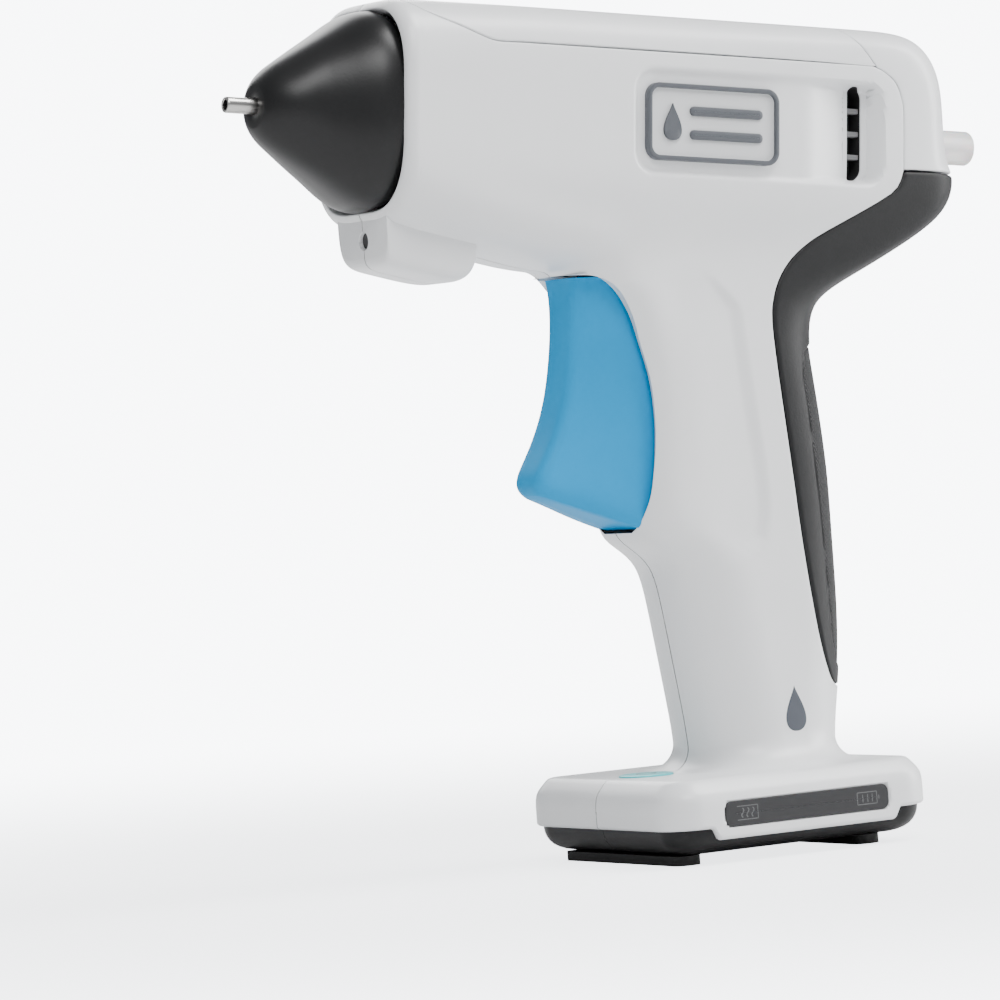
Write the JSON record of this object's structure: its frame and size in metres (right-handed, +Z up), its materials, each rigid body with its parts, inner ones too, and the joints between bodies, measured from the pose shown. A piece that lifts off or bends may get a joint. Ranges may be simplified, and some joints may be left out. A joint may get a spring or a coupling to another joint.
{
  "type": "cordless glue gun",
  "caption": "Cordless pistol-grip hot glue gun: a tilted barrel with a black cone and steel nozzle, a trigger that feeds the glue stick, and a handle on a battery base that stands on a bench.",
  "frame": {"origin": "on the table under the middle of the outline, at the feet's underside", "axes": "+Z up, nozzle towards -X, +Y to the gun's right side; mirror plane at Y = 0"},
  "size_m": [0.1751, 0.058, 0.1742],
  "materials": {
    "white_plastic": "satin",
    "grip_rubber": "fine texture",
    "black_nylon": "satin",
    "nozzle_steel": "machined",
    "cast_aluminium": "die cast",
    "insulator": "moulded phenolic",
    "heater_ceramic": "fired",
    "red_silicone": "moulded silicone",
    "grey_plastic": "fine texture",
    "glue": "translucent wax",
    "dark_lens": "smoked",
    "inner_nylon": "moulded",
    "pin_steel": "ground",
    "blue_plastic": "satin",
    "dark_plastic": "moulded",
    "slate_plastic": "fine texture",
    "black_plastic": "satin",
    "foot_rubber": "plain",
    "board": "solder mask",
    "cell_wrap": "shrink film",
    "nickel": "plated",
    "screw_steel": "blackened"
  },
  "bodies": {
    "frame": {"housing_left": "white_plastic", "housing_right": "white_plastic", "top_cover": "white_plastic", "rear_cap": "white_plastic", "rubber_grip": "grip_rubber", "nozzle_cone": "black_nylon", "nozzle_tip": "nozzle_steel", "melt_chamber": "cast_aluminium", "front_collar": "insulator", "rear_collar": "insulator", "heater_carrier": "cast_aluminium", "heater_plate": "heater_ceramic", "thermal_fuse": "heater_ceramic", "inlet_sleeve": "red_silicone", "stick_guide": "grey_plastic", "lamp_lens": "dark_lens", "feed_frame": "inner_nylon", "trigger_pin": "pin_steel", "return_spring": "pin_steel", "badge_left": "grey_plastic", "badge_right": "grey_plastic", "vent_grille_left": "dark_plastic", "vent_grille_right": "dark_plastic", "drop_inlay_left": "slate_plastic", "drop_inlay_right": "slate_plastic", "base_tray_left": "black_plastic", "base_tray_right": "black_plastic", "front_foot": "foot_rubber", "rear_foot": "foot_rubber", "control_board": "board", "charge_port": "pin_steel", "button_switch": "black_plastic", "indicator_lens": "dark_lens", "display_board": "board", "battery_cell": "cell_wrap", "lower_contact": "nickel", "upper_contact": "nickel", "housing_screws": "screw_steel", "tray_screws": "screw_steel"},
    "trigger": {"trigger": "blue_plastic", "drive_pin": "pin_steel"},
    "carriage": {"feed_carriage": "inner_nylon", "jaw_pin": "pin_steel"},
    "jaw": {"clamp_jaw": "pin_steel"},
    "stick": {"glue_stick": "glue"},
    "button": {"power_button": "blue_plastic"}
  },
  "joints": [
    {"name": "trigger_pull", "type": "hinge", "parent": "frame", "child": "trigger", "pos_m": [-0.00173, 0, 0.11668], "axis": [0, -1, 0], "range_deg": [0, 15], "stiffness_Nm_per_rad": 0.8, "springref_deg": -14.32, "deforming": ["return_spring"]},
    {"name": "carriage_feed", "type": "slide", "parent": "frame", "child": "carriage", "axis": [-0.9962, 0, 0.0872], "range_m": [0, 0.00537]},
    {"name": "jaw_tilt", "type": "hinge", "parent": "carriage", "child": "jaw", "pos_m": [0.00917, 0, 0.15317], "axis": [0, -1, 0], "range_deg": [0, 3.01]},
    {"name": "stick_feed", "type": "slide", "parent": "frame", "child": "stick", "axis": [0.9962, 0, -0.0872], "range_m": [-0.035, 0.085]},
    {"name": "power_button_press", "type": "slide", "parent": "frame", "child": "button", "axis": [0, 0, -1], "range_m": [0, 0.0005], "stiffness_N_per_m": 1500, "springref_m": -0.0004}
  ],
  "couplings": [
    {"joint": "carriage_feed", "follows": "trigger_pull", "m_per_rad": 0.0205},
    {"joint": "jaw_tilt", "follows": "trigger_pull", "ratio": 0.2}
  ]
}
